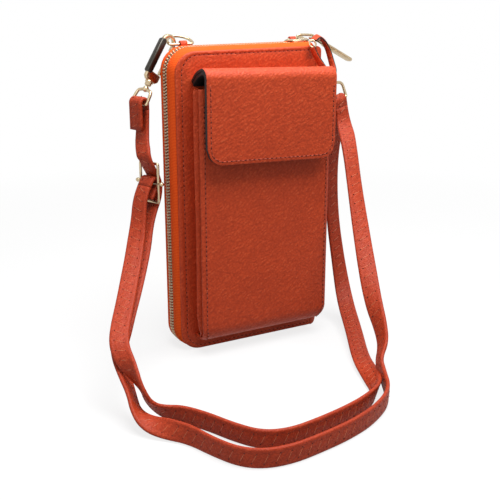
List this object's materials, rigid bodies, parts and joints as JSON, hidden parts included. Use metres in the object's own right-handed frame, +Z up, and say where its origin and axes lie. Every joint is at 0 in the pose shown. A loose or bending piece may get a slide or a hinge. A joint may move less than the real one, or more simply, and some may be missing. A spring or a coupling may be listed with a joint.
{
  "type": "phone pouch",
  "caption": "Zip-round phone pouch with a flapped front pocket, card pockets inside and a buckled shoulder strap on snap hooks.",
  "frame": {"origin": "middle of the pouch's foot, on the table, half way through its depth", "axes": "+X across to the spine side, +Y from the pocket side to the back, +Z up"},
  "size_m": [0.194, 0.1804, 0.1964],
  "materials": {
    "leather": "pebbled, satin",
    "board": "stiff board, hidden",
    "lining": "matt woven",
    "zip_tape": "matt woven",
    "zip_metal": "bronze, worn",
    "gold_metal": "pale gold plate, polished",
    "snap_metal": "polished"
  },
  "bodies": {
    "back_half": {"cover_back": "leather", "board_back": "board", "lining_back": "lining", "zip_tape_back": "zip_tape", "zip_chain_back": "zip_metal", "zip_stop_back": "zip_metal", "spine": "leather", "card_pocket_0": "lining", "card_pocket_1": "lining", "card_pocket_2": "lining", "ring_tab_left": "leather", "ring_tab_right": "leather", "hook_swivel_left": "gold_metal", "hook_swivel_right": "gold_metal", "buckle_frame": "gold_metal", "buckle_bar": "gold_metal", "strap_hook_end": "leather", "strap_hook_fold": "leather", "strap_buckle_end": "leather", "strap_inner": "leather", "strap_outer": "leather"},
    "front_half": {"cover_front": "leather", "board_front": "board", "lining_front": "lining", "zip_tape_front": "zip_tape", "zip_chain_front": "zip_metal", "zip_stop_front": "zip_metal", "slip_pocket": "lining", "pocket_face": "leather", "pocket_lining": "lining", "pocket_gusset_left": "leather", "pocket_gusset_right": "leather", "flap_anchor": "leather", "snap_socket": "snap_metal", "snap_plate_pocket": "snap_metal"},
    "flap_top": {"flap_roof": "leather", "flap_roof_lining": "lining"},
    "flap_hanging": {"flap_front": "leather", "flap_front_lining": "lining", "snap_stud": "snap_metal", "snap_plate_flap": "snap_metal"},
    "slider": {"zip_slider": "gold_metal"},
    "pull_tab": {"zip_pull_tab": "gold_metal"},
    "pull_loop": {"zip_pull_loop": "leather"},
    "ring_left": {"d_ring_left": "gold_metal"},
    "ring_right": {"d_ring_right": "gold_metal"},
    "snap_hook_left": {"hook_left": "gold_metal"},
    "snap_hook_right": {"hook_right": "gold_metal"},
    "gate_left": {"hook_gate_left": "gold_metal"},
    "gate_right": {"hook_gate_right": "gold_metal"}
  },
  "joints": [
    {"name": "front_opens", "type": "hinge", "parent": "back_half", "child": "front_half", "pos_m": [0.0445, -0.0115, 0.094], "axis": [0, 0, 1], "range_deg": [0, 45]},
    {"name": "flap_lifts", "type": "hinge", "parent": "front_half", "child": "flap_top", "pos_m": [0, -0.0118, 0.1735], "axis": [-1, 0, 0], "range_deg": [0, 60]},
    {"name": "flap_folds", "type": "hinge", "parent": "flap_top", "child": "flap_hanging", "pos_m": [0, -0.0375, 0.1757], "axis": [-1, 0, 0], "range_deg": [0, 96]},
    {"name": "zip_slide", "type": "slide", "parent": "back_half", "child": "slider", "axis": [1, 0, 0], "range_m": [-0.068, 0]},
    {"name": "pull_tab_swing", "type": "hinge", "parent": "slider", "child": "pull_tab", "pos_m": [0.0484, -0.0015, 0.1918], "axis": [0, -1, 0], "range_deg": [0, 120.1]},
    {"name": "pull_loop_swing", "type": "hinge", "parent": "slider", "child": "pull_loop", "pos_m": [0.0484, -0.0052, 0.1934], "axis": [0, -1, 0], "range_deg": [0, 183]},
    {"name": "ring_left_swing", "type": "hinge", "parent": "back_half", "child": "ring_left", "pos_m": [-0.036, 0.01365, 0.1902], "axis": [1, 0, 0], "range_deg": [-6, 6]},
    {"name": "ring_right_swing", "type": "hinge", "parent": "back_half", "child": "ring_right", "pos_m": [0.046, 0.01365, 0.1902], "axis": [1, 0, 0], "range_deg": [-6, 6]},
    {"name": "hook_left_turns", "type": "hinge", "parent": "back_half", "child": "snap_hook_left", "pos_m": [-0.06079, 0.01212, 0.16496], "axis": [-0.5381, -0.107, -0.8361], "range_deg": [-6, 6]},
    {"name": "gate_left_opens", "type": "hinge", "parent": "snap_hook_left", "child": "gate_left", "pos_m": [-0.05079, 0.01452, 0.17281], "axis": [0.27, -0.9615, -0.0507], "range_deg": [0, 14], "stiffness_Nm_per_rad": 0.02, "springref_deg": -5.73},
    {"name": "hook_right_turns", "type": "hinge", "parent": "back_half", "child": "snap_hook_right", "pos_m": [0.06304, 0.00122, 0.16309], "axis": [0.3139, -0.5448, -0.7776], "range_deg": [-6, 6]},
    {"name": "gate_right_opens", "type": "hinge", "parent": "snap_hook_right", "child": "gate_right", "pos_m": [0.06297, 0.00995, 0.17263], "axis": [0.3701, -0.6841, 0.6286], "range_deg": [0, 14], "stiffness_Nm_per_rad": 0.02, "springref_deg": -5.73}
  ],
  "couplings": [
    {"joint": "flap_folds", "follows": "flap_lifts", "ratio": 1.6},
    {"joint": "pull_tab_swing", "follows": "zip_slide", "rad_per_m": -30.8},
    {"joint": "pull_loop_swing", "follows": "zip_slide", "rad_per_m": -46}
  ]
}
